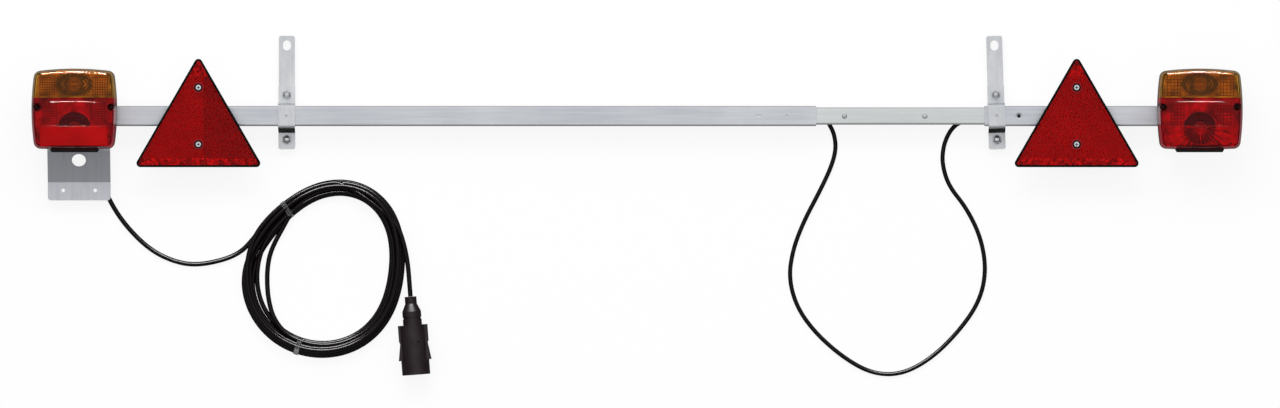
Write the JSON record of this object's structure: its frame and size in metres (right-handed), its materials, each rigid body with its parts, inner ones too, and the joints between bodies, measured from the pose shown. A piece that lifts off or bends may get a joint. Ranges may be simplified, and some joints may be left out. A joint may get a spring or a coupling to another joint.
{
  "type": "trailer lighting board",
  "caption": "Telescopic trailer lighting bar with rear lamps, triangular reflectors, clamp hangers, number-plate bracket, coiled supply cable and plug.",
  "frame": {"origin": "middle of the bar's box in X and Y, on the surface that it lies on", "axes": "+X along the bar from the lamp with the plate bracket to the sliding arm, +Y towards the hanger slots, +Z out of the lenses"},
  "size_m": [1.5128, 0.4265, 0.0815],
  "materials": {
    "zinc_tube": "galvanised, satin",
    "zinc_channel": "galvanised, pale satin",
    "zinc_sheet": "galvanised, satin",
    "bright_steel": "zinc plated",
    "black_screw": "black",
    "lamp_black": "satin black",
    "tray_grey": "light grey, glossy",
    "amber_lens": "clear amber, glossy",
    "red_lens": "clear red, glossy",
    "clear_window": "clear, glossy",
    "bulb": "clear glass on a metal cap",
    "brass": "plain",
    "reflector_red": "red, glossy, prismatic",
    "cable_black": "smooth black sheath",
    "rubber_black": "matt black",
    "plug_black": "matt black"
  },
  "bodies": {
    "bar": {"cable_gland": "rubber_black", "left_amber_lens": "amber_lens", "left_bulb_sockets": "brass", "left_bulbs": "bulb", "left_carrier_rivets": "bright_steel", "left_clamp_bolts": "bright_steel", "left_clamp_nuts": "bright_steel", "left_hanger_strip": "zinc_sheet", "left_lamp_base": "lamp_black", "left_lamp_bolts": "bright_steel", "left_lamp_gasket": "rubber_black", "left_lamp_nuts": "bright_steel", "left_lens_screws": "black_screw", "left_plate_light_window": "clear_window", "left_red_lens": "red_lens", "left_reflector_back": "lamp_black", "left_reflector_carrier": "zinc_sheet", "left_reflector_lens": "reflector_red", "left_reflector_nuts": "bright_steel", "left_reflector_screws": "bright_steel", "left_reflector_tray": "tray_grey", "left_saddle": "zinc_sheet", "link_cable": "cable_black", "main_tube": "zinc_tube", "main_tube_cable": "cable_black", "plate_bracket": "zinc_sheet", "plug_boot": "rubber_black", "plug_cable": "cable_black", "plug_collar": "plug_black", "plug_insert": "plug_black", "plug_pins": "brass", "plug_screw": "bright_steel", "plug_shell": "plug_black", "supply_cable": "cable_black", "supply_coil": "cable_black"},
    "arm": {"right_amber_lens": "amber_lens", "right_bulb_sockets": "brass", "right_bulbs": "bulb", "right_carrier_rivets": "bright_steel", "right_clamp_bolts": "bright_steel", "right_clamp_nuts": "bright_steel", "right_hanger_strip": "zinc_sheet", "right_lamp_base": "lamp_black", "right_lamp_bolts": "bright_steel", "right_lamp_gasket": "rubber_black", "right_lamp_nuts": "bright_steel", "right_lens_screws": "black_screw", "right_red_lens": "red_lens", "right_reflector_back": "lamp_black", "right_reflector_carrier": "zinc_sheet", "right_reflector_lens": "reflector_red", "right_reflector_nuts": "bright_steel", "right_reflector_screws": "bright_steel", "right_reflector_tray": "tray_grey", "right_saddle": "zinc_sheet", "arm_tube": "zinc_tube", "slide_channel": "zinc_channel", "stop_rivets": "bright_steel", "arm_rivets": "bright_steel", "arm_cable": "cable_black"}
  },
  "joints": [
    {"name": "arm_slide", "type": "slide", "parent": "bar", "child": "arm", "axis": [1, 0, 0], "range_m": [-0.03, 0.3], "deforming": ["link_cable"]}
  ]
}
